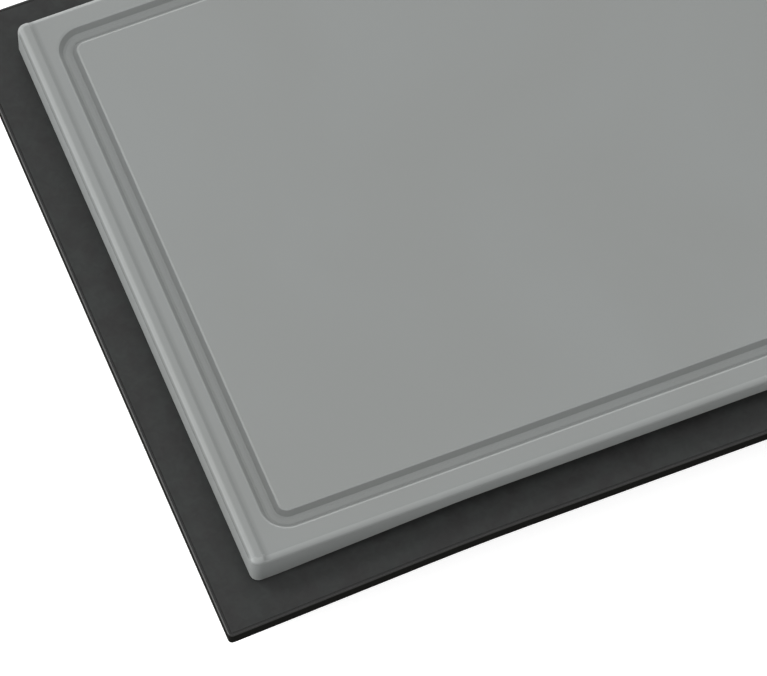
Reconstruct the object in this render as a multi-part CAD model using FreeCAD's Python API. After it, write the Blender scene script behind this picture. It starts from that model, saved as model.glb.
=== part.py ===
import FreeCAD, Part
import math
import os
from FreeCAD import Vector

# Cutting board on a dark deck, with two drawer trays that slide out from under the front edge.
# Millimetres. +Z is up, +X runs along the long side, -Y is the front where the trays pull out.
# The origin is on the table, under the middle of the deck.

# ---- Driving dimensions ----------------------------------------------------------------------

# Cutting board
board_width = 530.0
board_depth = 325.0
board_thickness = 20.0
board_corner_radius = 4.5
board_top_radius = 3.6
board_bottom_chamfer = 0.8

# Raised lips along the board's two sides, and their slopes down to the cutting face
lip_width = 6.0
lip_slope = 1.8
lip_rise = 0.7

# Juice groove, measured from the board's edge to its centre line: a flat floor between leaning
# walls, which end at the top in a narrow eased edge
groove_inset_side = 19.0
groove_inset_front = 17.1
groove_depth = 3.9
groove_floor_width = 3.8
groove_mouth_width = 9.0
groove_floor_bevel = 0.8
groove_ease_run = 0.9
groove_ease_drop = 0.4
groove_corner_radius = 9.2

# Grip relief under the board's front edge
grip_start = 3.0
grip_run = 106.0
grip_blend = 12.0
grip_height = 8.5
grip_depth = 14.0

# Deck: a laminated panel with a black edge band
deck_margin_side = 21.3
deck_margin_front = 22.5
deck_thickness = 7.8
deck_bow = 4.7
deck_bow_start = 4.0
deck_bow_run = 128.0
deck_bow_blend = 27.0
deck_corner_radius = 2.2
edge_band_width = 1.8
edge_band_top_chamfer = 0.6
edge_band_foot_chamfer = 0.5
seam_chamfer = 0.15

# Soft pads, cut from strip, that carry the board, and pins that keep it in place
pad_length = 44.0
pad_width = 14.0
pad_thickness = 2.0
pad_stand = 0.5
pad_inset_x = 45.0
pad_inset_y = 42.0
pin_radius = 4.0
pin_stand = 6.0
pin_seat = 5.0
pin_chamfer = 1.0
pin_inset_x = 26.0
pin_inset_y = 26.0
pin_side_clearance = 0.3
pin_end_clearance = 1.5

# Housing under the deck
housing_inset_side = 25.8
housing_inset_front = 30.0
housing_inset_back = 27.0
wall_thickness = 8.0
wall_height = 40.0
floor_thickness = 4.0
rail_depth = 12.0
rail_gap = 2.0
rail_height = 7.5

# Rubber feet
foot_top_radius = 11.0
foot_sole_radius = 10.0
foot_height = 5.0
foot_inset_x = 18.0
foot_inset_y = 27.0

# Runners
runner_width = 8.0
runner_slot_depth = 6.0
runner_slot_height = 2.0
runner_top_lip = 2.5
runner_bottom_lip = 7.0
runner_front_gap = 1.0
runner_edge_chamfer = 0.6

# Pressed steel trays
tray_metal = 1.0
tray_taper = 5.0
tray_floor_gap = 2.0
tray_corner_radius = 18.0
tray_floor_radius = 6.0
tray_side_clearance = 1.5
flange_side_clearance = 0.6
tab_width = 30.0
tab_height = 5.5

# Drawer fronts
front_thickness = 15.0
front_side_gap = 1.0
front_floor_gap = 0.8
front_top_gap = 1.2
front_edge_radius = 1.0
ledge_height = 6.0
ledge_clearance = 0.4
ledge_end_gap = 3.0
pull_width = 110.0
pull_height = 13.0
pull_depth = 10.0
pull_lip_thickness = 3.5
pull_lip_height = 4.5
pull_floor_rise = 9.0
pull_corner_radius = 4.0

# Travel stops and rear bumpers
drawer_travel = 195.0
stop_width = 24.0
stop_depth = 10.0
stop_tab_overlap = 3.5
bumper_radius = 5.0
bumper_length = 3.0
bumper_spread = 70.0

# How far a cutting tool runs past the surface that it cuts, and how near counts as equal
overcut = 1.0
near = 1e-5

# ---- Levels and edges that follow ------------------------------------------------------------

board_half_x = board_width / 2
board_half_y = board_depth / 2
deck_half_x = board_half_x + deck_margin_side
deck_half_y = board_half_y + deck_margin_front

floor_z = foot_height
wall_z = floor_z + floor_thickness
deck_z = wall_z + wall_height
deck_top_z = deck_z + deck_thickness
board_z = deck_top_z + pad_stand
lip_z = board_z + board_thickness
cutting_z = lip_z - lip_rise

wall_half_x = deck_half_x - housing_inset_side
wall_front_y = -deck_half_y + housing_inset_front
wall_back_y = deck_half_y - housing_inset_back
bay_back_y = wall_back_y - wall_thickness
bay_outer_x = wall_half_x - wall_thickness
bay_inner_x = wall_thickness / 2
bay_width = bay_outer_x - bay_inner_x
bay_centre_x = (bay_outer_x + bay_inner_x) / 2

rail_front_y = wall_front_y + front_thickness + rail_gap
rail_z = deck_z - rail_height

slot_top_z = rail_z - runner_top_lip
slot_z = slot_top_z - runner_slot_height
runner_z = slot_z - runner_bottom_lip
runner_front_y = wall_front_y + front_thickness + runner_front_gap

tray_front_y = wall_front_y + front_thickness
tray_back_y = bay_back_y - bumper_length
tray_z = wall_z + tray_floor_gap
flange_half_x = bay_width / 2 - runner_width + runner_slot_depth - flange_side_clearance
shell_half_x = bay_width / 2 - runner_width - tray_side_clearance
flange_reach = flange_half_x - shell_half_x
flange_top_z = slot_z + tray_metal
tab_top_z = flange_top_z + tab_height
stop_back_y = tray_back_y - tray_metal - drawer_travel

UP = Vector(0, 0, 1)
SIDES = (("left", -1), ("right", 1))


# ---- Helpers ---------------------------------------------------------------------------------

def block(x0, x1, y0, y1, z0, z1):
    """Box between two corners, given in any order."""
    low = Vector(min(x0, x1), min(y0, y1), min(z0, z1))
    return Part.makeBox(abs(x1 - x0), abs(y1 - y0), abs(z1 - z0), low)


def rounded_rectangle(half_x, half_y, radius, z):
    """Closed wire of a rectangle with round corners, centred on the origin at height z."""
    edges = []
    for start, side_x, side_y in ((0, 1, 1), (90, -1, 1), (180, -1, -1), (270, 1, -1)):
        centre = Vector(side_x * (half_x - radius), side_y * (half_y - radius), z)
        arc = Part.makeCircle(radius, centre, UP, start, start + 90)
        if edges:
            edges.append(Part.makeLine(edges[-1].Vertexes[-1].Point, arc.Vertexes[0].Point))
        edges.append(arc)
    edges.append(Part.makeLine(edges[-1].Vertexes[-1].Point, edges[0].Vertexes[0].Point))
    return Part.Wire(edges)


def extrude(wire, height):
    """Solid from a flat closed wire, pushed up by height."""
    return Part.Face(wire).extrude(UP * height)


def carried_round(section, corner_x, corner_y):
    """Solid that a section leaves when it is carried once round a rounded rectangle.

    The section is a face in the XZ plane, with x measured from a corner's centre. The corners'
    centres lie corner_x and corner_y to either side of the origin.
    """
    pieces = []
    for quarter, (side_x, side_y) in enumerate(((1, 1), (-1, 1), (-1, -1), (1, -1))):
        centre = Vector(side_x * corner_x, side_y * corner_y, 0)
        start = section.copy()
        start.translate(centre)
        start.rotate(centre, UP, 90 * quarter)
        straight = 2 * (corner_x if quarter % 2 else corner_y)
        back = FreeCAD.Rotation(UP, 90 * quarter).multVec(Vector(0, -straight, 0))
        pieces += [start.revolve(centre, UP, 90), start.extrude(back)]
    return pieces[0].fuse(pieces[1:])


def edges_at(shape, z):
    """Edges that lie wholly at height z."""
    return [edge for edge in shape.Edges
            if abs(edge.BoundBox.ZMin - z) < near and abs(edge.BoundBox.ZMax - z) < near]


def ramped_edges(half, run, rise, blend, place):
    """Edges of a line that ramps in from both ends, bends smoothly and runs level between.

    The line goes from -half to +half. place(s, t) puts a point at distance s along it and t
    across it. Each ramp climbs to rise over run, and blend is the length of tangent that the
    bend takes from the ramp and from the level stretch.
    """
    angle = math.atan2(rise, run)
    knee = half - run
    low = (knee + blend * math.cos(angle), rise - blend * math.sin(angle))
    high = (knee - blend, rise)
    radius = blend / math.tan(angle / 2)
    middle = (high[0] + radius * math.sin(angle / 2), rise - radius * (1 - math.cos(angle / 2)))
    points = [place(-half, 0), place(-low[0], low[1]), place(-high[0], high[1]),
              place(high[0], high[1]), place(low[0], low[1]), place(half, 0)]
    return [Part.makeLine(points[0], points[1]),
            Part.Arc(points[1], place(-middle[0], middle[1]), points[2]).toShape(),
            Part.makeLine(points[2], points[3]),
            Part.Arc(points[3], place(middle[0], middle[1]), points[4]).toShape(),
            Part.makeLine(points[4], points[5])]


def discs(places, radius, height):
    """Upright cylinders that stand on the given places."""
    return [Part.makeCylinder(radius, height, place) for place in places]


def cut_all(shape, tools):
    """Shape less every tool, cleaned of leftover edges."""
    return shape.cut(Part.makeCompound(tools)).removeSplitter()


# ---- Cutting board ---------------------------------------------------------------------------

def board_slab():
    """Plain slab with its upright corners rounded and a trough between the two side lips."""
    slab = extrude(rounded_rectangle(board_half_x, board_half_y, board_corner_radius, board_z),
                   board_thickness)
    top_x = board_half_x - lip_width
    foot_x = top_x - lip_slope
    front_y = -board_half_y - overcut
    above_z = lip_z + overcut
    section = Part.makePolygon([Vector(x, front_y, z) for x, z in (
        (-top_x, above_z), (-top_x, lip_z), (-foot_x, cutting_z), (foot_x, cutting_z),
        (top_x, lip_z), (top_x, above_z), (-top_x, above_z))])
    return slab.cut(Part.Face(section).extrude(Vector(0, board_depth + 2 * overcut, 0)))


def on_board_side(point):
    return abs(abs(point.x) - board_half_x) < near or abs(abs(point.y) - board_half_y) < near


def board_blank():
    """The slab with its whole top rim rounded, lips and trough alike, and its foot chamfered."""
    slab = board_slab()
    rim = []
    for edge in slab.Edges:
        at_side = all(on_board_side(vertex.Point) for vertex in edge.Vertexes)
        across = abs(edge.CenterOfMass.y) < near and not on_board_side(edge.CenterOfMass)
        if edge.BoundBox.ZMin > cutting_z - near and at_side and not across:
            rim.append(edge)
    blank = slab.makeFillet(board_top_radius, rim)
    return blank.makeChamfer(board_bottom_chamfer, edges_at(blank, board_z))


def groove_section():
    """Outline of the groove's cutter, about a corner's centre: floor, bevels, walls, eased edges."""
    floor_z = cutting_z - groove_depth
    ease_z = cutting_z - groove_ease_drop
    floor_x = groove_floor_width / 2
    mouth_x = groove_mouth_width / 2
    wall_angle = math.atan2(ease_z - floor_z, mouth_x - floor_x)
    half = [(floor_x - groove_floor_bevel, floor_z),
            (floor_x + groove_floor_bevel * math.cos(wall_angle),
             floor_z + groove_floor_bevel * math.sin(wall_angle)),
            (mouth_x, ease_z),
            (mouth_x + groove_ease_run, cutting_z),
            (mouth_x + groove_ease_run, lip_z + overcut)]
    outline = half + [(-x, z) for x, z in reversed(half)] + half[:1]
    return Part.Face(Part.makePolygon([Vector(groove_corner_radius + x, 0, z)
                                       for x, z in outline]))


def juice_groove():
    return carried_round(groove_section(), board_half_x - groove_inset_side - groove_corner_radius,
                         board_half_y - groove_inset_front - groove_corner_radius)


def grip_relief():
    """Tool that lifts the board's lower front edge, so that fingers get under it."""
    half = board_half_x - grip_start

    def place(s, t):
        return Vector(s, -board_half_y - overcut, board_z + t)

    edges = ramped_edges(half, grip_run, grip_height, grip_blend, place)
    below = Part.makePolygon([place(half, 0), place(half, -overcut), place(-half, -overcut),
                              place(-half, 0)])
    return Part.Face(Part.Wire(edges + below.Edges)).extrude(Vector(0, grip_depth + overcut, 0))


def pin_places(z):
    return [Vector(side * (board_half_x - pin_inset_x), board_half_y - pin_inset_y, z)
            for _, side in SIDES]


def cutting_board():
    sockets = discs(pin_places(board_z), pin_radius + pin_side_clearance,
                    pin_stand - pad_stand + pin_end_clearance)
    return cut_all(board_blank(), [juice_groove(), grip_relief()] + sockets)


# ---- Deck ------------------------------------------------------------------------------------

def deck_outline(inset, z):
    """Deck's outline set in by inset: straight but for the front, which bows in to the middle."""
    half_x = deck_half_x - inset
    front_y = -deck_half_y + inset
    back_y = deck_half_y - inset
    bow_x = deck_half_x - deck_bow_start
    bow = ramped_edges(bow_x, deck_bow_run, deck_bow, deck_bow_blend,
                       lambda s, t: Vector(s, front_y + t, z))
    rest = Part.makePolygon([Vector(x, y, z) for x, y in (
        (bow_x, front_y), (half_x, front_y), (half_x, back_y),
        (-half_x, back_y), (-half_x, front_y), (-bow_x, front_y))])
    return Part.Wire(bow + rest.Edges)


def deck_corner_edges(blank):
    """Upright edges at the deck's four corners."""
    found = []
    for edge in blank.Edges:
        box = edge.BoundBox
        upright = box.ZLength > near and box.XLength < near and box.YLength < near
        if upright and abs(abs(box.Center.x) - deck_half_x) < near:
            if abs(abs(box.Center.y) - deck_half_y) < near:
                found.append(edge)
    return found


def anti_slip_pads():
    """Four pads let into the deck under the board's corners."""
    pads = []
    for column in (-1, 1):
        for row in (-1, 1):
            x = column * (board_half_x - pad_inset_x)
            y = row * (board_half_y - pad_inset_y)
            pads.append(block(x - pad_length / 2, x + pad_length / 2, y - pad_width / 2,
                              y + pad_width / 2, deck_top_z - pad_thickness + pad_stand,
                              deck_top_z + pad_stand))
    return pads


def deck_panel():
    panel = extrude(deck_outline(edge_band_width, deck_z), deck_thickness)
    panel = panel.makeChamfer(seam_chamfer, edges_at(panel, deck_top_z))
    holes = discs(pin_places(deck_top_z - pin_seat), pin_radius, pin_seat + overcut)
    return cut_all(panel, anti_slip_pads() + holes)


def deck_edge_band():
    blank = extrude(deck_outline(0, deck_z), deck_thickness)
    blank = blank.makeFillet(deck_corner_radius, deck_corner_edges(blank))
    blank = blank.makeChamfer(edge_band_top_chamfer, edges_at(blank, deck_top_z))
    blank = blank.makeChamfer(edge_band_foot_chamfer, edges_at(blank, deck_z))
    opening = deck_outline(edge_band_width, deck_z - overcut)
    band = blank.cut(extrude(opening, deck_thickness + 2 * overcut))
    seam = deck_outline(edge_band_width, deck_top_z).BoundBox
    seam.enlarge(near)
    return band.makeChamfer(seam_chamfer, [edge for edge in edges_at(band, deck_top_z)
                                           if seam.isInside(edge.BoundBox)])


def locating_pins():
    pins = []
    for seat in pin_places(deck_top_z - pin_seat):
        pin = Part.makeCylinder(pin_radius, pin_seat + pin_stand, seat)
        pins.append(pin.makeChamfer(pin_chamfer, edges_at(pin, deck_top_z + pin_stand)))
    return pins


# ---- Housing ---------------------------------------------------------------------------------

def side_wall(side):
    return block(side * bay_outer_x, side * wall_half_x, wall_front_y, wall_back_y, wall_z, deck_z)


def back_wall():
    return block(-bay_outer_x, bay_outer_x, bay_back_y, wall_back_y, wall_z, deck_z)


def centre_wall():
    return block(-bay_inner_x, bay_inner_x, wall_front_y, bay_back_y, wall_z, deck_z)


def floor_panel():
    return block(-wall_half_x, wall_half_x, wall_front_y, wall_back_y, floor_z, wall_z)


def front_rail(side):
    """Rail under the deck's front that closes the top of a bay behind the drawer front."""
    return block(side * bay_inner_x, side * bay_outer_x,
                 rail_front_y, rail_front_y + rail_depth, rail_z, deck_z)


def rubber_feet():
    x = wall_half_x - foot_inset_x
    return [Part.makeCone(foot_sole_radius, foot_top_radius, foot_height, Vector(side * x, y, 0))
            for _, side in SIDES for y in (wall_front_y + foot_inset_y, wall_back_y - foot_inset_y)]


def runner_walls():
    """Each runner's name, the x of the wall face that it is fixed to, and the way it faces."""
    return [("runner_left_outer", -bay_outer_x, 1), ("runner_left_inner", -bay_inner_x, -1),
            ("runner_right_inner", bay_inner_x, 1), ("runner_right_outer", bay_outer_x, -1)]


def runner(face_x, facing):
    """Grooved rail on a wall face: the tray's flange rides in its slot."""
    toe_x = face_x + facing * runner_width
    body = block(face_x, toe_x, runner_front_y, tray_back_y, runner_z, rail_z)
    toe = [edge for edge in edges_at(body, runner_z) if abs(edge.BoundBox.Center.x - toe_x) < near]
    slot = block(toe_x - facing * runner_slot_depth, toe_x + facing * overcut,
                 runner_front_y - overcut, tray_back_y + overcut, slot_z, slot_top_z)
    return body.makeChamfer(runner_edge_chamfer, toe).cut(slot)


def travel_stops():
    """Block under the deck in each bay, which the tray's rear tab meets when pulled out."""
    half = stop_width / 2
    return [block(side * bay_centre_x - half, side * bay_centre_x + half,
                  stop_back_y - stop_depth, stop_back_y, tab_top_z - stop_tab_overlap, deck_z)
            for _, side in SIDES]


def rear_bumpers():
    """Rubber buttons on the back wall that each tray closes against."""
    z = slot_z + tray_metal / 2
    return [Part.makeCylinder(bumper_radius, bumper_length,
                              Vector(side * bay_centre_x + offset, tray_back_y, z), Vector(0, 1, 0))
            for _, side in SIDES for offset in (-bumper_spread, bumper_spread)]


# ---- Drawer trays ----------------------------------------------------------------------------

def tray_section():
    """Section of the sheet from the floor's edge up the leaning wall and out along the flange.

    Returns the face, with x measured from a corner's centre, and the x where the floor begins.
    """
    lean = math.radians(tray_taper)
    inner_radius = tray_floor_radius - tray_metal
    bend_z = tray_z + tray_floor_radius
    outer_foot_z = bend_z - tray_floor_radius * math.sin(lean)
    outer_foot_x = tray_corner_radius - (slot_z - outer_foot_z) * math.tan(lean)
    bend_x = outer_foot_x - tray_floor_radius * math.cos(lean)
    inner_mouth_x = tray_corner_radius - tray_metal / math.cos(lean) + tray_metal * math.tan(lean)
    rim_x = tray_corner_radius + flange_reach

    def at(x, z):
        return Vector(x, 0, z)

    def on_bend(radius, angle):
        return at(bend_x + radius * math.cos(angle), bend_z - radius * math.sin(angle))

    def bend(radius):
        half_turn = (math.pi / 2 + lean) / 2
        return Part.Arc(on_bend(radius, math.pi / 2), on_bend(radius, half_turn),
                        on_bend(radius, lean)).toShape()

    wall = Part.makePolygon([on_bend(tray_floor_radius, lean), at(tray_corner_radius, slot_z),
                             at(rim_x, slot_z), at(rim_x, flange_top_z),
                             at(inner_mouth_x, flange_top_z), on_bend(inner_radius, lean)])
    floor_end = Part.makeLine(at(bend_x, tray_z + tray_metal), at(bend_x, tray_z))
    outline = Part.Wire(Part.__sortEdges__([bend(tray_floor_radius)] + wall.Edges
                                           + [bend(inner_radius), floor_end]))
    return Part.Face(outline), bend_x


def drawer_tray(side):
    """Pressed steel tray: leaning walls, rounded floor, flange all round and a stop tab behind."""
    section, bend_x = tray_section()
    half_y = (tray_back_y - tray_front_y) / 2
    corner_x = shell_half_x - tray_corner_radius
    corner_y = half_y - flange_reach - tray_corner_radius
    floor = extrude(rounded_rectangle(corner_x + bend_x, corner_y + bend_x, bend_x, tray_z),
                    tray_metal)
    tab = block(-tab_width / 2, tab_width / 2, half_y - tray_metal, half_y, slot_z, tab_top_z)
    tray = carried_round(section, corner_x, corner_y).fuse([floor, tab]).removeSplitter()
    tray.translate(Vector(side * bay_centre_x, (tray_front_y + tray_back_y) / 2, 0))
    return tray


def pull_pocket(x):
    """Finger pocket in a drawer front, which goes up behind a lip at its top."""
    low_z = wall_z + front_floor_gap + pull_floor_rise
    high_z = low_z + pull_height
    half = pull_width / 2
    back_y = wall_front_y + pull_depth
    mouth = block(x - half, x + half, wall_front_y - overcut, back_y, low_z, high_z)
    ends = [edge for edge in mouth.Edges if edge.BoundBox.YLength > pull_depth]
    hook_half = half - pull_corner_radius
    hook = block(x - hook_half, x + hook_half, wall_front_y + pull_lip_thickness, back_y,
                 high_z - pull_corner_radius, high_z + pull_lip_height)
    return mouth.makeFillet(pull_corner_radius, ends).fuse(hook)


def tray_front(side):
    """Drawer front with a ledge behind it, to which the tray's front flange is fixed."""
    x = side * bay_centre_x
    half = bay_width / 2 - front_side_gap
    face = block(x - half, x + half, wall_front_y, tray_front_y,
                 wall_z + front_floor_gap, deck_z - front_top_gap)
    rim = [edge for edge in face.Edges if edge.BoundBox.YMax < wall_front_y + near]
    ledge_half = shell_half_x - ledge_end_gap
    ledge = block(x - ledge_half, x + ledge_half, tray_front_y - overcut,
                  tray_front_y + flange_reach - ledge_clearance, slot_z - ledge_height, slot_z)
    front = face.makeFillet(front_edge_radius, rim).fuse(ledge)
    return front.cut(pull_pocket(x)).removeSplitter()


# ---- Write every node ------------------------------------------------------------------------

nodes = {
    "cutting_board": [cutting_board()],
    "deck_panel": [deck_panel()],
    "deck_edge_band": [deck_edge_band()],
    "anti_slip_pads": anti_slip_pads(),
    "locating_pins": locating_pins(),
    "back_wall": [back_wall()],
    "centre_wall": [centre_wall()],
    "floor_panel": [floor_panel()],
    "rubber_feet": rubber_feet(),
    "travel_stops": travel_stops(),
    "rear_bumpers": rear_bumpers(),
}
for name, face_x, facing in runner_walls():
    nodes[name] = [runner(face_x, facing)]
for word, side in SIDES:
    nodes["side_wall_" + word] = [side_wall(side)]
    nodes["front_rail_" + word] = [front_rail(side)]
    nodes["drawer_tray_" + word] = [drawer_tray(side)]
    nodes["tray_front_" + word] = [tray_front(side)]

os.makedirs("parts", exist_ok=True)
for name, solids in nodes.items():
    node = Part.makeCompound(solids) if len(solids) > 1 else solids[0]
    node.exportStep("parts/" + name + ".step")
    print(f"{name:20s} solids {len(node.Solids)}  volume {node.Volume:10.0f}  valid {node.isValid()}")
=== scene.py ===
# %% [markdown]
# # A cutting board with two drawer trays
#
# The real thing is a low box of compact laminate panels that stands on a worktop. A thick
# grey plastic cutting board lies loose on its dark deck, and two steel trays slide out below.
# Every hard part already exists as an exact solid, so this lesson does what is left: it sets
# up the light, gives each part a finish that is built from nodes, and adds the screws.
#
# The first cell loads the solids. They are in metres, each one sits where it belongs, and
# none of them is moved or reshaped here.

# %% Load the solids
import math

import bpy
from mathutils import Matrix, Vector


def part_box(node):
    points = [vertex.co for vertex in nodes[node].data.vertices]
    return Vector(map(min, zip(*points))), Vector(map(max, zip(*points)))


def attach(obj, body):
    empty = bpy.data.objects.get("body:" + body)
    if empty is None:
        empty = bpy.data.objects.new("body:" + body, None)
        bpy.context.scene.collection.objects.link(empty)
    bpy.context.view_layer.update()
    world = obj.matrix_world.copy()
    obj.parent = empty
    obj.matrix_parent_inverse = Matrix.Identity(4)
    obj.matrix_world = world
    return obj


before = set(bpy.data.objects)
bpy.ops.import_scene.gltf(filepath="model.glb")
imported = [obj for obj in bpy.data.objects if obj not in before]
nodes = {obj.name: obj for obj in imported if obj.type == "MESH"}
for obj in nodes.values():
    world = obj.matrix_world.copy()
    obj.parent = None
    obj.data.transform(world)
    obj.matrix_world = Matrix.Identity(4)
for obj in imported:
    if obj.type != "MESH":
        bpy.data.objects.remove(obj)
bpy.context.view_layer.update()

mm = 0.001

# %% [markdown]
# ## The camera
#
# A close view from high up on the front left corner shows what matters on a cutting board:
# its rim, its juice groove and the deck below. A camera can be turned by angles, but it is
# easier to say where it stands and what it looks at, and to let Blender work out the turn.
# A very long lens, far away, keeps parallel edges nearly parallel, as a product picture does.

# %% Place the camera
def aim(thing, place, target):
    """Stand a camera or lamp at a place and turn it to a target."""
    thing.location = place
    thing.rotation_euler = (Vector(target) - Vector(place)).to_track_quat("-Z", "Y").to_euler()


camera_place = (-0.84909, -1.78177, 3.61397)
looked_at = (-0.15595, -0.06134, 0.05730)
camera_data = bpy.data.cameras.new("camera")
camera_data.lens = 381.2
camera_data.sensor_width = 36.0
camera = bpy.data.objects.new("camera", camera_data)
bpy.context.scene.collection.objects.link(camera)
aim(camera, camera_place, looked_at)
bpy.context.scene.camera = camera
bpy.context.scene.view_settings.view_transform = "Standard"
print(f"the camera stands {camera.location.length:.2f} m from the object's middle")

# %% [markdown]
# ## Tools for building node trees
#
# Materials, the sky and Geometry Nodes are all node trees, and they are built the same way:
# add a node, set its values, and link it to the ones before it. One small helper does the
# three together, so that the cells below read like a list of what each finish is made of.
#
# A socket is called by its name, with an underscore for a space, or by its number where
# names repeat: `i0` is the first one.

# %% Node helpers
def add(tree, kind, settings=None, **inputs):
    """Add a node, set its properties, and fill its inputs with values or other sockets."""
    made = tree.nodes.new(kind)
    for key, value in (settings or {}).items():
        setattr(made, key, value)
    for key, value in inputs.items():
        by_number = key[1:].isdigit()
        slot = made.inputs[int(key[1:]) if by_number else key.replace("_", " ")]
        if isinstance(value, bpy.types.NodeSocket):
            tree.links.new(value, slot)
        else:
            slot.default_value = value
    return made


def maths(tree, what, a, b=0.0, c=0.0):
    """One Math node, given back as its output socket."""
    return add(tree, "ShaderNodeMath", {"operation": what}, i0=a, i1=b, i2=c).outputs[0]


def all_of(tree, first, *others):
    """Where several masks hold at once: their product."""
    for mask in others:
        first = maths(tree, "MULTIPLY", first, mask)
    return first


def xyz(tree, **parts):
    """Join single numbers into a vector."""
    return add(tree, "ShaderNodeCombineXYZ", **parts).outputs[0]


def spread(tree, value, low, high):
    """Bring a pattern that runs from 0 to 1 into the range from low to high."""
    return add(tree, "ShaderNodeMapRange", Value=value, To_Min=low, To_Max=high).outputs["Result"]


def step(tree, value, start, end):
    """A soft step: 0 up to start, 1 from end on. It falls where end is the lower of the two."""
    return add(tree, "ShaderNodeMapRange", {"interpolation_type": "SMOOTHSTEP"},
               Value=value, From_Min=start, From_Max=end).outputs["Result"]


# %% [markdown]
# ## The light
#
# Colours should render about as they are written, so an upward face must receive a light of
# about 1. A plain white sky of strength 1 does that by itself, but it is dull: every side
# comes out the same. Here a dim sky fills the shadows, stronger at the back than in front,
# and lamps do the rest, as in a studio for small goods:
#
# - a wide, weak softbox high in front gives most of the light and soft shadows,
# - a smaller and brighter one, high on the left, puts the long highlight on the left edge,
# - a low strip brings up the board's left side without reaching into the groove,
# - two bounce cards, on the left and at the back, glint on the deck's edge and light the
#   groove's far wall.
#
# What the camera sees directly should be pure white. Light Path tells the camera's own rays,
# and the reflected and transmitted ones, from the rays that carry light to the object. The
# same white is then behind the object and in its steel.

# %% The sky
white = (1.0, 1.0, 1.0, 1.0)
warm_white = (1.0, 0.995, 0.985, 1.0)
sky_level = 0.27
sky_gain = (0.06, 0.19, 0.03)  # how much stronger it gets to the right, the back and above


def seen_rays(tree):
    """1 for the camera's rays and for what metal and glass send on, 0 for the light itself."""
    path = add(tree, "ShaderNodeLightPath").outputs
    return maths(tree, "MAXIMUM", path["Is Camera Ray"],
                 maths(tree, "MAXIMUM", path["Is Glossy Ray"], path["Is Transmission Ray"]))


world = bpy.data.worlds.new("white studio")
bpy.context.scene.world = world
world.use_nodes = True
sky = world.node_tree
sky.nodes.clear()

direction = add(sky, "ShaderNodeTexCoord").outputs["Generated"]
uneven = add(sky, "ShaderNodeVectorMath", {"operation": "DOT_PRODUCT"},
             i0=direction, i1=sky_gain).outputs["Value"]
lighting = add(sky, "ShaderNodeBackground", Color=warm_white,
               Strength=maths(sky, "ADD", uneven, sky_level))
backdrop = add(sky, "ShaderNodeBackground", Color=white, Strength=1.0)
either = add(sky, "ShaderNodeMixShader",
             i0=seen_rays(sky), i1=lighting.outputs[0], i2=backdrop.outputs[0])
add(sky, "ShaderNodeOutputWorld", Surface=either.outputs[0])
print(f"the sky's strength is {sky_level - Vector(sky_gain).length:.2f} "
      f"to {sky_level + Vector(sky_gain).length:.2f}")


# %% The lamps
def panel_lamp(name, width, height, radiance, place, target=(0.0, 0.0, 0.07)):
    """A flat lamp of even brightness. Its watts follow from its size."""
    data = bpy.data.lights.new(name, "AREA")
    data.shape = "RECTANGLE"
    data.size, data.size_y = width, height
    data.energy = radiance * math.pi * width * height
    lamp = bpy.data.objects.new(name, data)
    lamp.visible_camera = False
    bpy.context.scene.collection.objects.link(lamp)
    aim(lamp, place, target)
    print(f"{name}: {data.energy:.1f} W")


panel_lamp("left_card", 1.4, 0.8, 2.2, (-1.9, 0.95, 0.42), target=(0.0, 0.1, 0.07))
panel_lamp("left_strip", 1.5, 0.2, 21.0, (-2.0, -0.30, 0.13))
panel_lamp("left_softbox", 0.6, 0.6, 10.5, (-1.05, 0.92, 1.75))
panel_lamp("back_card", 2.4, 0.8, 4.2, (0.90, 2.20, 0.60))
panel_lamp("high_softbox", 2.8, 2.8, 1.95, (0.05, -1.00, 2.50))

# %% [markdown]
# ## The floor
#
# The object stands on a pale seamless sheet. A plane with a white colour alone would turn grey
# wherever the light is below 1, so the material adds a glow that only the camera's rays and the
# reflected ones can see. It is kept under 1, so the soft shadow under the deck still shows.

# %% Lay the floor
half = 7.0
floor_mesh = bpy.data.meshes.new("floor")
floor_mesh.from_pydata([(-half, -half, 0), (half, -half, 0), (half, half, 0), (-half, half, 0)],
                       [], [(0, 1, 2, 3)])
floor = bpy.data.objects.new("floor", floor_mesh)
bpy.context.scene.collection.objects.link(floor)
print(f"the floor is {2 * half:.0f} m square")

# %% The floor's paper
glow_strength = 0.72
pale_grey = (0.8, 0.8, 0.8, 1.0)
floor_finish = bpy.data.materials.new("pale sheet")
floor_finish.use_nodes = True
tree = floor_finish.node_tree
tree.nodes.clear()
glow = add(tree, "ShaderNodeEmission", Color=white,
           Strength=maths(tree, "MULTIPLY", seen_rays(tree), glow_strength))
paper = add(tree, "ShaderNodeBsdfDiffuse", Color=pale_grey)
both = add(tree, "ShaderNodeAddShader", i0=glow.outputs[0], i1=paper.outputs[0])
add(tree, "ShaderNodeOutputMaterial", Surface=both.outputs[0])
floor_mesh.materials.append(floor_finish)
print(f"{floor_finish.name}: {len(tree.nodes)} nodes")

# %% [markdown]
# ## Effects that several finishes share
#
# No factory surface is perfectly even. Three small effects make the difference. Each could be
# built again in every material, but then a change would have to be made many times. So each
# is built once as a node group with named inputs, and every finish uses it in its own size:
#
# - *grain*: the fine pebbling that a mould or a press plate leaves,
# - *drift*: broad, very soft changes of tone, from the material and from wiping,
# - *strokes*: long thin lines in one direction, from brushing or from an extrusion die.
#
# A group gives out only plain patterns from 0 to 1. The shader itself stays in the material.

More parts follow.
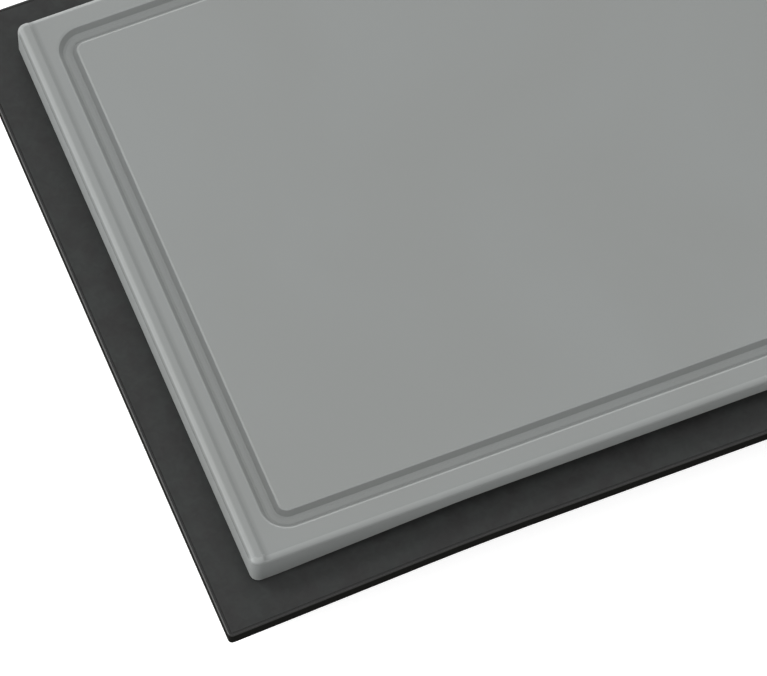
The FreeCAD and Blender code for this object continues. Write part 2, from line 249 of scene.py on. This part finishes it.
# %% A group with named sockets
def new_group(name, floats, vectors=()):
    """An empty shader node group with named inputs, which puts out one pattern."""
    group = bpy.data.node_groups.new(name, "ShaderNodeTree")
    for kind, sockets in (("NodeSocketFloat", floats), ("NodeSocketVector", vectors)):
        for label, value in sockets:
            socket = group.interface.new_socket(label, in_out="INPUT", socket_type=kind)
            socket.default_value = value
    group.interface.new_socket("Pattern", in_out="OUTPUT", socket_type="NodeSocketFloat")
    return group, add(group, "NodeGroupInput").outputs


def object_place(tree):
    """Where a point lies in metres, which is the same on every piece and at any pose."""
    return add(tree, "ShaderNodeTexCoord").outputs["Object"]


def per_metre(tree, size):
    """A noise takes its scale as so many per metre, which is 1 divided by the size."""
    return maths(tree, "DIVIDE", 1.0, size)


# %% Grain
# It mixes two noises of different size, so that no single scale stands out.
finer, coarse_share = 2.7, 0.6
grain_group, given = new_group("grain", [("Grain Size", 0.8 * mm)])
place = object_place(grain_group)
scale = per_metre(grain_group, given["Grain Size"])
coarse = add(grain_group, "ShaderNodeTexNoise", Vector=place, Scale=scale, Detail=3.0)
fine = add(grain_group, "ShaderNodeTexNoise", Vector=place, Detail=2.0,
           Scale=maths(grain_group, "MULTIPLY", scale, finer))
mixed = maths(grain_group, "ADD",
              maths(grain_group, "MULTIPLY", coarse.outputs["Fac"], coarse_share),
              maths(grain_group, "MULTIPLY", fine.outputs["Fac"], 1 - coarse_share))
add(grain_group, "NodeGroupOutput", Pattern=mixed)

# %% Drift
# It is one large noise that bends itself, which gives clouds and not blobs.
drift_group, given = new_group("drift", [("Patch Size", 120 * mm)])
clouds = add(drift_group, "ShaderNodeTexNoise", Vector=object_place(drift_group),
             Scale=per_metre(drift_group, given["Patch Size"]),
             Detail=4.0, Roughness=0.45, Distortion=0.8)
add(drift_group, "NodeGroupOutput", Pattern=clouds.outputs["Fac"])

# %% Strokes
# They are a noise that is squeezed in two directions and left long in the third.
stroke_group, given = new_group("strokes", [("Line Width", 0.3 * mm)],
                                [("Squeeze", (1.0, 0.02, 1.0))])
squeezed = add(stroke_group, "ShaderNodeVectorMath", {"operation": "MULTIPLY"},
               i0=object_place(stroke_group), i1=given["Squeeze"]).outputs["Vector"]
lines = add(stroke_group, "ShaderNodeTexNoise", Vector=squeezed,
            Scale=per_metre(stroke_group, given["Line Width"]), Detail=3.0, Roughness=0.6)
add(stroke_group, "NodeGroupOutput", Pattern=lines.outputs["Fac"])
print("shared groups:", ", ".join(group.name for group in bpy.data.node_groups))

# %% [markdown]
# ## A start for every finish
#
# Each finish needs the same four things: a shader, a colour that varies, a roughness that
# varies and a little relief. `start_finish` makes the shader and gives back its tree. `tint`
# mixes a darker and a lighter tone of a colour by a pattern, `lighten` multiplies a colour,
# and `relief` turns a pattern into a bump of a real height. `link_up` joins the results to
# the shader and says how many nodes the finish took.

# %% Helpers for finishes
def start_finish(name, **sockets):
    """A material with a plain shader, its tree, and the shader's sockets by name."""
    finish = bpy.data.materials.new(name)
    finish.use_nodes = True
    tree = finish.node_tree
    tree.nodes.clear()
    shader = add(tree, "ShaderNodeBsdfPrincipled", **sockets)
    add(tree, "ShaderNodeOutputMaterial", Surface=shader.outputs[0])
    return finish, tree, shader.inputs


def group_pattern(tree, group, **inputs):
    """Place a shared group and take its pattern."""
    return add(tree, "ShaderNodeGroup", {"node_tree": group}, **inputs).outputs["Pattern"]


def blend(tree, factor, first, second):
    """Mix two colours, each a triple or a socket."""
    ends = [tone if isinstance(tone, bpy.types.NodeSocket) else (*tone, 1.0)
            for tone in (first, second)]
    return add(tree, "ShaderNodeMix", {"data_type": "RGBA"},
               i0=factor, i6=ends[0], i7=ends[1]).outputs[2]


def tint(tree, colour, pattern, amount):
    """A colour that a pattern makes darker and lighter by a small share."""
    return blend(tree, pattern, [c * (1 - amount) for c in colour],
                 [c * (1 + amount) for c in colour])


def lighten(tree, colour, factor):
    """A colour times a factor, which may be above or below 1."""
    return add(tree, "ShaderNodeVectorMath", {"operation": "SCALE"},
               i0=colour, Scale=factor).outputs["Vector"]


def relief(tree, height, depth):
    """A bump whose full height is the given depth in metres."""
    return add(tree, "ShaderNodeBump", Height=height, Distance=depth, Strength=1.0).outputs[0]


def tilt(tree, output="True Normal"):
    """How far the surface faces up: 1 where it lies flat, 0 on an upright side."""
    normal = add(tree, "ShaderNodeNewGeometry").outputs[output]
    return add(tree, "ShaderNodeSeparateXYZ", Vector=normal).outputs["Z"]


def link_up(finish, shader, **sockets):
    """Join patterns to the shader's sockets, and say how large the finish has become."""
    for label, value in sockets.items():
        finish.node_tree.links.new(value, shader[label.replace("_", " ")])
    print(f"{finish.name}: {len(finish.node_tree.nodes)} nodes")


# %% [markdown]
# ## The board's plastic
#
# Cutting boards of this kind are cut from pressed polyethylene. It is cool grey all through,
# neither matt nor shiny, and nearly even: a fine pebble from the press plate, and tones that
# drift by one or two percent. The two tones of the drift differ slightly in hue as well.
#
# The cutter leaves the groove and the feet of the lips rougher, and the round-overs smoother.
# Shade and highlights are also painted into the colour: painted shade in the groove, at the
# foot of the lips and at the foot of the round-overs, and painted highlights on the round-overs
# and the groove's edges. They could be painted on by hand, but then they would have to be
# painted again whenever the shape changes. So masks find them from where a point lies and
# which way the surface faces. The marks are alike left and right, and front and back, so an
# absolute value folds the two halves together, and one distance serves both edges.

# %% Where a point lies on the board
board_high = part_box("cutting_board")[1]
lip_height = 0.7 * mm
cutting_face = board_high.z - lip_height

board_plastic, tree, shader = start_finish("board plastic", Specular_IOR_Level=0.27)
place = add(tree, "ShaderNodeSeparateXYZ", Vector=object_place(tree)).outputs
from_side = maths(tree, "SUBTRACT", board_high.x, maths(tree, "ABSOLUTE", place["X"]))
from_front = maths(tree, "SUBTRACT", board_high.y, maths(tree, "ABSOLUTE", place["Y"]))
up = tilt(tree, "Normal")
print(f"the cutting face is {cutting_face / mm:.1f} mm above the worktop")

# %% [markdown]
# Where the cutter has made the groove and the feet of the lips, the face is rougher, and
# painted shade makes it a little darker. The round-overs are smoother, carry a painted
# highlight where they lean back, which is stronger on the front one, and end in a line of
# painted shade at the foot, which is stronger along the two sides with a lip.
#
# The value `up` is 1 on a level face and 0 on an upright one, so a range of it picks out the
# faces that lean by so much. Soft steps keep the masks from ending in a hard line.

# %% Painted shade and highlights on the board, and the cutter's roughness
border = 8 * mm  # the groove keeps this far from the board's edges
edge_end = cutting_face - 0.42 * mm  # the groove's rounded edge ends at this height
wall_start = cutting_face - 0.70 * mm  # and from here down all is milled
# Painted shade in the groove, whose face is also rougher.
in_groove = all_of(tree, maths(tree, "GREATER_THAN", from_side, border),
                   maths(tree, "GREATER_THAN", from_front, border),
                   step(tree, place["Z"], edge_end, wall_start))
# Painted shade in the crease at the foot of each lip, whose face is also rougher.
foot_start, foot_full, foot_fade, foot_end = (d * mm for d in (5.8, 7.0, 7.4, 10.6))
lip_foot = all_of(tree, step(tree, up, 0.5, 0.7),
                  step(tree, from_side, foot_start, foot_full),
                  step(tree, from_side, foot_end, foot_fade))
milled = maths(tree, "MAXIMUM", in_groove, lip_foot)
# A painted highlight on the leaning edges outside the groove, which are also smoother.
edge = all_of(tree, step(tree, up, 0.50, 0.75), step(tree, up, 0.985, 0.955),
              maths(tree, "SUBTRACT", 1.0, milled))

rim = 4 * mm  # the round-over and the side below it are nearer to the edge than this
corner_start, corner_end = 3 * mm, 7 * mm  # the side's dark line fades out between these
on_side = maths(tree, "LESS_THAN", from_side, rim)
on_front = maths(tree, "LESS_THAN", from_front, rim)
# Painted shade along the foot of the round-overs, strongest at the two sides and fading out
# towards the corners, and a painted highlight on the front round-over.
side_foot_shade = all_of(tree, on_side, step(tree, up, 0.02, 0.12), step(tree, up, 0.75, 0.55),
                   step(tree, from_front, corner_start, corner_end))
front_foot_shade = all_of(tree, on_front, step(tree, up, 0.0, 0.15), step(tree, up, 0.55, 0.35))
front_round_highlight = all_of(tree, on_front, step(tree, up, 0.40, 0.55), step(tree, up, 0.99, 0.965))
# Each mask with the share by which it darkens the colour (painted shade) or lightens it (painted
# highlight).
changes = [(in_groove, -0.12), (lip_foot, -0.20), (edge, 0.06),
           (side_foot_shade, -0.42), (front_foot_shade, -0.15), (front_round_highlight, 0.11)]
# The printed range is that of the painted shade and highlights.
print(f"the tone changes by {min(change for _, change in changes):.0%} "
      f"to {max(change for _, change in changes):.0%} where the cutter has been")

# %% Board plastic
grain = group_pattern(tree, grain_group, Grain_Size=0.9 * mm)
drift = group_pattern(tree, drift_group, Patch_Size=160 * mm)
darker, paler = (0.246, 0.256, 0.251), (0.253, 0.265, 0.262)
even = blend(tree, step(tree, drift, 0.32, 0.68), darker, paler)
lightness = spread(tree, grain, 0.985, 1.015)
# The painted shade and highlights are multiplied into the colour here.
for mask, change in changes:
    lightness = maths(tree, "MULTIPLY_ADD", mask, change, lightness)
rough = maths(tree, "ADD", spread(tree, grain, 0.36, 0.44), spread(tree, drift, 0.0, 0.06))
worked = maths(tree, "MULTIPLY_ADD", edge, -0.06, maths(tree, "MULTIPLY", milled, 0.08))
link_up(board_plastic, shader, Base_Color=lighten(tree, even, lightness),
        Roughness=maths(tree, "ADD", rough, worked), Normal=relief(tree, grain, 0.012 * mm))

# %% [markdown]
# ## The deck's laminate
#
# The deck is a board that is faced with charcoal laminate, and so are the drawer fronts. Dark
# laminate shows every touch. Wiping leaves it a little deeper in some places and hazier in
# others, in clouds of a centimetre or two with fingertip marks among them, and the haze is
# slightly cooler and rougher. A picture of a used surface would repeat or blur, so two sizes
# of drift make the clouds, sharpened a little by a soft step.

# %% Laminate
haze = (0.035, 0.065, 0.055)  # how much it changes the red, the green and the blue


def laminate(name, colour, rough):
    finish, tree, shader = start_finish(name, Specular_IOR_Level=0.14)
    grain = group_pattern(tree, grain_group, Grain_Size=0.6 * mm)
    wiping = step(tree, group_pattern(tree, drift_group, Patch_Size=14 * mm), 0.3, 0.7)
    touch = step(tree, group_pattern(tree, drift_group, Patch_Size=4.5 * mm), 0.3, 0.7)
    wiped = [c * (1 - share) for c, share in zip(colour, haze)]
    hazy = [c * (1 + share) for c, share in zip(colour, haze)]
    lightness = maths(tree, "MULTIPLY", spread(tree, grain, 0.96, 1.04),
                      spread(tree, touch, 0.93, 1.07))
    link_up(finish, shader,
            Base_Color=lighten(tree, blend(tree, wiping, wiped, hazy), lightness),
            Roughness=spread(tree, wiping, rough - 0.04, rough + 0.04),
            Normal=relief(tree, grain, 0.008 * mm))
    return finish


deck_laminate = laminate("deck laminate", (0.0328, 0.0340, 0.0336), rough=0.36)
front_laminate = laminate("front laminate", (0.0260, 0.0272, 0.0268), rough=0.4)

# %% [markdown]
# ## The deck's edge band
#
# The deck's rim is a separate band of black plastic, 2 mm thick. The band's top is levelled
# together with the laminate, so it has nearly the same tone. The bevel below it is buffed and
# glossy, and the side stays matt and black. Each could be a material of its own, but one can
# hold all three, because the surface's own direction says which part it is.

# %% Edge band
side_gloss, top_gloss, bevel_gloss = 0.012, 0.14, 0.80
edge_band, tree, shader = start_finish("edge band", Specular_IOR_Level=0.0, Coat_Roughness=0.22)
up = tilt(tree)
on_top = step(tree, up, 0.85, 0.95)
on_bevel = all_of(tree, step(tree, up, 0.3, 0.5), maths(tree, "SUBTRACT", 1.0, on_top))
lines = group_pattern(tree, stroke_group, Line_Width=0.4 * mm, Squeeze=(0.03, 0.03, 1.0))
grain = group_pattern(tree, grain_group, Grain_Size=0.7 * mm)
side_tone = tint(tree, (0.0098, 0.0098, 0.0088), lines, 0.15)
top_tone = tint(tree, (0.0320, 0.0325, 0.0322), grain, 0.08)
gloss = maths(tree, "MULTIPLY_ADD", on_bevel, bevel_gloss,
              maths(tree, "MULTIPLY_ADD", on_top, top_gloss, side_gloss))
link_up(edge_band, shader, Base_Color=blend(tree, on_top, side_tone, top_tone),
        Roughness=spread(tree, lines, 0.5, 0.62), Coat_Weight=gloss,
        Normal=relief(tree, grain, 0.006 * mm))

# %% [markdown]
# ## The housing's panels
#
# The walls, the floor and the rails are cut from thin compact laminate. Its faces are charcoal
# and its core, which shows wherever it was sawn, is black with faint layers. The thin direction
# of a panel is known, so the surface's direction tells face from sawn edge again. Panels lie
# in three directions, so one function makes three finishes.

# %% Panels with a black core
face_limit = 0.6  # the cosine beyond which a surface counts as a face


def compact_panel(name, thin):
    finish, tree, shader = start_finish(name, Specular_IOR_Level=0.3)
    normal = add(tree, "ShaderNodeNewGeometry").outputs["True Normal"]
    facing = add(tree, "ShaderNodeVectorMath", {"operation": "DOT_PRODUCT"},
                 i0=normal, i1=thin).outputs["Value"]
    on_face = maths(tree, "GREATER_THAN", maths(tree, "ABSOLUTE", facing), face_limit)
    grain = group_pattern(tree, grain_group, Grain_Size=0.7 * mm)
    drift = group_pattern(tree, drift_group, Patch_Size=100 * mm)
    squeeze = tuple(1.0 if axis else 0.02 for axis in thin)
    layers = group_pattern(tree, stroke_group, Line_Width=0.6 * mm, Squeeze=squeeze)
    face = tint(tree, (0.0300, 0.0306, 0.0312), drift, 0.10)
    core = tint(tree, (0.0110, 0.0105, 0.0100), layers, 0.35)
    link_up(finish, shader, Base_Color=blend(tree, on_face, core, face),
            Roughness=spread(tree, grain, 0.44, 0.58), Normal=relief(tree, grain, 0.010 * mm))
    return finish


panel_across = compact_panel("panel, thin across", (1, 0, 0))
panel_along = compact_panel("panel, thin front to back", (0, 1, 0))
panel_flat = compact_panel("panel, lying flat", (0, 0, 1))

# %% [markdown]
# ## The trays' steel
#
# The trays are pressed from brushed stainless sheet. Brushing leaves fine lines all one way,
# here from side to side, that show in the roughness and in a very shallow relief more than in
# the colour. They are far too fine to be cut into the mesh, so strokes stand in for them.
# Hands and cutlery leave softer, broader marks on top.

# %% Brushed steel
tray_steel, tree, shader = start_finish("tray steel", Metallic=1.0)
brushing = group_pattern(tree, stroke_group, Line_Width=0.25 * mm, Squeeze=(0.012, 1.0, 1.0))
drift = group_pattern(tree, drift_group, Patch_Size=70 * mm)
rough = maths(tree, "ADD", spread(tree, brushing, 0.24, 0.40), spread(tree, drift, 0.0, 0.10))
link_up(tray_steel, shader, Base_Color=tint(tree, (0.56, 0.56, 0.55), brushing, 0.09),
        Roughness=rough, Normal=relief(tree, brushing, 0.006 * mm))

# %% [markdown]
# ## Black plastic, rubber and silicone
#
# The runners are extruded, so their lines run from front to back. Feet and bumpers are matt
# rubber with a coarse skin that is dusty in patches. The pads are soft grey silicone, whose
# skin is finer and lets a little more light slide over it. Rubber and silicone differ only in
# their numbers, so one function makes both.

# %% Runner plastic
runner_plastic, tree, shader = start_finish("runner plastic", Specular_IOR_Level=0.5)
die_lines = group_pattern(tree, stroke_group, Line_Width=0.5 * mm, Squeeze=(1.0, 0.01, 1.0))
link_up(runner_plastic, shader, Base_Color=tint(tree, (0.018, 0.018, 0.019), die_lines, 0.20),
        Roughness=spread(tree, die_lines, 0.28, 0.42),
        Normal=relief(tree, die_lines, 0.010 * mm))


# %% Rubber and silicone
def soft_skin(name, colour, dusty, grain_size, rough, depth):
    finish, tree, shader = start_finish(name, Specular_IOR_Level=0.35)
    grain = group_pattern(tree, grain_group, Grain_Size=grain_size)
    drift = group_pattern(tree, drift_group, Patch_Size=12 * mm)
    dust = maths(tree, "MULTIPLY", step(tree, drift, 0.45, 0.75), 0.5)
    link_up(finish, shader,
            Base_Color=blend(tree, dust, tint(tree, colour, grain, 0.18), dusty),
            Roughness=spread(tree, grain, rough - 0.06, rough + 0.06),
            Normal=relief(tree, grain, depth))
    return finish


rubber_black = soft_skin("black rubber", colour=(0.012, 0.012, 0.012),
                         dusty=(0.024, 0.023, 0.022),
                         grain_size=0.6 * mm, rough=0.78, depth=0.04 * mm)
silicone = soft_skin("grey silicone", colour=(0.100, 0.102, 0.104),
                     dusty=(0.125, 0.126, 0.126),
                     grain_size=0.4 * mm, rough=0.6, depth=0.01 * mm)

# %% [markdown]
# ## The screws' zinc
#
# Screws are plated with zinc, which is a little blue and clouded, and duller than steel. The
# heads are only a few millimetres wide, so small clouds are enough and lines would be lost.

# %% Zinc plating
screw_steel, tree, shader = start_finish("zinc plating", Metallic=1.0)
clouds = group_pattern(tree, drift_group, Patch_Size=2 * mm)
grain = group_pattern(tree, grain_group, Grain_Size=0.4 * mm)
link_up(screw_steel, shader, Base_Color=tint(tree, (0.50, 0.51, 0.53), clouds, 0.14),
        Roughness=spread(tree, clouds, 0.26, 0.46), Normal=relief(tree, grain, 0.004 * mm))

# %% [markdown]
# ## Put each finish on its parts
#
# A solid keeps its own mesh, and only the material in its slot changes. The list runs from
# finish to parts, so a part that nobody listed is noticed at once.

# %% Assign the finishes
worn_by = [
    (board_plastic, ["cutting_board"]),
    (deck_laminate, ["deck_panel"]),
    (edge_band, ["deck_edge_band"]),
    (front_laminate, ["tray_front_left", "tray_front_right"]),
    (panel_across, ["side_wall_left", "side_wall_right", "centre_wall"]),
    (panel_along, ["back_wall", "front_rail_left", "front_rail_right"]),
    (panel_flat, ["floor_panel"]),
    (tray_steel, ["drawer_tray_left", "drawer_tray_right"]),
    (runner_plastic, ["runner_left_outer", "runner_left_inner", "runner_right_inner",
                      "runner_right_outer", "locating_pins", "travel_stops"]),
    (rubber_black, ["rubber_feet", "rear_bumpers"]),
    (silicone, ["anti_slip_pads"]),
]
for finish, names in worn_by:
    for name in names:
        for slot in nodes[name].material_slots:
            slot.material = finish
bare = set(nodes) - {name for _, names in worn_by for name in names}
print("parts without a finish:", sorted(bare) or "none")

# %% [markdown]
# ## The screws
#
# The panels are held together by small round-headed screws with a cross recess. They all look
# the same and there are dozens of them, so one head is made once and repeated by Geometry
# Nodes. The tree takes a handful of loose points. Each point carries the way its screw faces
# and how large the head is, and the tree stands a head on it and turns it by a random angle,
# because no two screws are ever driven to the same angle.
#
# The head itself is a flattened ball. A block trims it at the surface, and two crossed bars
# are taken out of its crown. Both cuts are Boolean nodes, which need closed shapes to work on.

# %% The screw tree and its inputs
screws_tree = bpy.data.node_groups.new("screws on points", "GeometryNodeTree")
screws_tree.is_modifier = True
face = screws_tree.interface
face.new_socket("Geometry", in_out="INPUT", socket_type="NodeSocketGeometry")
for label, value in [("Head Height", 0.36), ("Let In", 0.06), ("Recess Length", 1.15),
                     ("Recess Width", 0.26), ("Recess Depth", 0.30)]:
    face.new_socket(label, in_out="INPUT", socket_type="NodeSocketFloat").default_value = value
face.new_socket("Seed", in_out="INPUT", socket_type="NodeSocketInt").default_value = 7
face.new_socket("Finish", in_out="INPUT", socket_type="NodeSocketMaterial")
face.new_socket("Geometry", in_out="OUTPUT", socket_type="NodeSocketGeometry")

geo = screws_tree
given = add(geo, "NodeGroupInput").outputs
print("inputs:", ", ".join(item.name for item in face.items_tree if item.in_out == "INPUT"))

# %% The head, for a radius of 1
ball = add(geo, "GeometryNodeMeshUVSphere", Segments=24, Rings=12, Radius=1.0)
crown = add(geo, "GeometryNodeTransform", Geometry=ball.outputs["Mesh"],
            Scale=xyz(geo, X=1.0, Y=1.0, Z=given["Head Height"]))
block_width, block_height = 3.0, 2.0
block = add(geo, "GeometryNodeMeshCube", Size=(block_width, block_width, block_height))
block_middle = maths(geo, "SUBTRACT", block_height / 2, given["Let In"])
trim = add(geo, "GeometryNodeTransform", Geometry=block.outputs["Mesh"],
           Translation=xyz(geo, Z=block_middle))
head = add(geo, "GeometryNodeMeshBoolean", {"operation": "INTERSECT"})
for shape in (crown, trim):
    geo.links.new(shape.outputs[0], head.inputs["Mesh 2"])

bars = add(geo, "GeometryNodeJoinGeometry")
bar_height = 1.0
bar_top = maths(geo, "ADD", bar_height / 2, given["Head Height"])
bar_middle = maths(geo, "SUBTRACT", bar_top, given["Recess Depth"])
for x, y in (("Recess Length", "Recess Width"), ("Recess Width", "Recess Length")):
    bar = add(geo, "GeometryNodeMeshCube", Size=xyz(geo, X=given[x], Y=given[y], Z=bar_height))
    lowered = add(geo, "GeometryNodeTransform", Geometry=bar.outputs["Mesh"],
                  Translation=xyz(geo, Z=bar_middle))
    geo.links.new(lowered.outputs[0], bars.inputs[0])
slotted = add(geo, "GeometryNodeMeshBoolean", {"operation": "DIFFERENCE"})
geo.links.new(head.outputs["Mesh"], slotted.inputs["Mesh 1"])
geo.links.new(bars.outputs[0], slotted.inputs["Mesh 2"])
print(f"a head takes {len(geo.nodes)} nodes")

# %% A head on each point
facing = add(geo, "GeometryNodeInputNamedAttribute", {"data_type": "FLOAT_VECTOR"},
             Name="facing")
radius = add(geo, "GeometryNodeInputNamedAttribute", {"data_type": "FLOAT"},
             Name="head_radius")
upright = add(geo, "FunctionNodeAlignRotationToVector", {"axis": "Z"},
              Vector=facing.outputs["Attribute"])
half_turn = math.pi
turn = add(geo, "FunctionNodeRandomValue", {"data_type": "FLOAT"}, Seed=given["Seed"],
           i3=half_turn).outputs[1]
driven = add(geo, "FunctionNodeRotateRotation", {"rotation_space": "LOCAL"},
             Rotation=upright.outputs[0], Rotate_By=xyz(geo, Z=turn))
placed = add(geo, "GeometryNodeInstanceOnPoints", Points=given["Geometry"],
             Instance=slotted.outputs["Mesh"], Rotation=driven.outputs[0],
             Scale=radius.outputs["Attribute"])
real = add(geo, "GeometryNodeRealizeInstances", Geometry=placed.outputs[0])
coloured = add(geo, "GeometryNodeSetMaterial", Geometry=real.outputs[0],
               Material=given["Finish"])
add(geo, "NodeGroupOutput", Geometry=coloured.outputs[0])
print(f"the whole tree has {len(geo.nodes)} nodes")

# %% [markdown]
# ## Where the screws go
#
# The places are measured off the solids, so they follow if a part changes. The floor is
# screwed up into the walls, the side walls into the back wall, the rails and the travel stops
# up into the deck, and the runners into the walls beside them, below their slots. Each tray's
# front flange is screwed down on its ledge.
#
# The heads beside a sliding tray are smaller, because only 1.5 mm is free there.

# %% Tools for placing screws
large, small = 3.0 * mm, 2.2 * mm  # radius of a head
down, above = (0, 0, -1), (0, 0, 1)
screws = {"housing": [], "drawer_left": [], "drawer_right": []}


def middle(low, high):
    return (low + high) / 2


def row(low, high, inset, count):
    """Evenly spaced values, the first and the last an inset away from the ends."""
    first, last = low + inset, high - inset
    return [first + (last - first) * i / (count - 1) for i in range(count)]


def drive(body, place, facing, radius):
    """Note one screw of a body: where it sits, which way it faces, how large its head is."""
    screws[body].append((place, facing, radius))


# %% Screws of the walls
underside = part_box("floor_panel")[0].z
foot_low, foot_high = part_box("rubber_feet")
for wall in ("side_wall_left", "centre_wall", "side_wall_right"):
    low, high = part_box(wall)
    for y in row(foot_low.y, foot_high.y, 36 * mm, 3):
        drive("housing", (middle(low.x, high.x), y, underside), down, large)
low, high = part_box("back_wall")
for x in row(low.x, high.x, 60 * mm, 4):
    drive("housing", (x, middle(low.y, high.y), underside), down, large)
for wall, outward in (("side_wall_left", -1), ("side_wall_right", 1)):
    face_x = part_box(wall)[0 if outward < 0 else 1].x
    for z in row(low.z, high.z, 10 * mm, 2):
        drive("housing", (face_x, middle(low.y, high.y), z), (outward, 0, 0), large)
print(len(screws["housing"]), "screws in the walls")

# %% Screws of the rails, runners, stops and trays
stop_low, stop_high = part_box("travel_stops")
from_stop_middle = 7 * mm
above_runner_foot = 3.5 * mm
behind_tray_edge, flange_height = 3.6 * mm, 27 * mm
for side in ("left", "right"):
    low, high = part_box(f"front_rail_{side}")
    for x in row(low.x, high.x, 30 * mm, 3):
        drive("housing", (x, middle(low.y, high.y), low.z), down, large)
    for place in ("inner", "outer"):
        low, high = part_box(f"runner_{side}_{place}")
        toward_bay = 1 if (side == "right") == (place == "inner") else -1
        face_x = high.x if toward_bay > 0 else low.x
        for y in row(low.y, high.y, 25 * mm, 4):
            drive("housing", (face_x, y, low.z + above_runner_foot), (toward_bay, 0, 0), small)
    low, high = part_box(f"drawer_tray_{side}")
    for way in (-1, 1):
        x = middle(low.x, high.x) + way * from_stop_middle
        drive("housing", (x, middle(stop_low.y, stop_high.y), stop_low.z), down, small)
    for x in row(low.x, high.x, 40 * mm, 3):
        drive(f"drawer_{side}", (x, low.y + behind_tray_edge, low.z + flange_height),
              above, small)
print(sum(len(places) for places in screws.values()), "screws in all")


# %% Turn the points into screws
sharp_angle = math.radians(35)


def screw_piece(body, places):
    """Run the tree on one body's points and keep the result as a plain mesh."""
    points = bpy.data.meshes.new(f"screw points {body}")
    points.from_pydata([place for place, _, _ in places], [], [])
    facing = points.attributes.new("facing", "FLOAT_VECTOR", "POINT")
    facing.data.foreach_set("vector", [part for _, way, _ in places for part in way])
    radii = points.attributes.new("head_radius", "FLOAT", "POINT")
    radii.data.foreach_set("value", [radius for _, _, radius in places])
    carrier = bpy.data.objects.new(f"screw carrier {body}", points)
    bpy.context.scene.collection.objects.link(carrier)
    modifier = carrier.modifiers.new("screws", "NODES")
    modifier.node_group = screws_tree
    named = {item.name: item.identifier for item in screws_tree.interface.items_tree
             if item.in_out == "INPUT"}
    modifier[named["Finish"]] = screw_steel
    evaluated = carrier.evaluated_get(bpy.context.evaluated_depsgraph_get())
    mesh = bpy.data.meshes.new_from_object(evaluated)
    bpy.data.objects.remove(carrier)
    mesh.materials.clear()
    mesh.materials.append(screw_steel)
    mesh.shade_smooth()
    mesh.set_sharp_from_angle(angle=sharp_angle)
    piece = bpy.data.objects.new(f"screws_{body}", mesh)
    bpy.context.scene.collection.objects.link(piece)
    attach(piece, body)
    print(f"{piece.name}: {len(places)} screws, {len(mesh.polygons)} faces")


for body, places in screws.items():
    screw_piece(body, places)
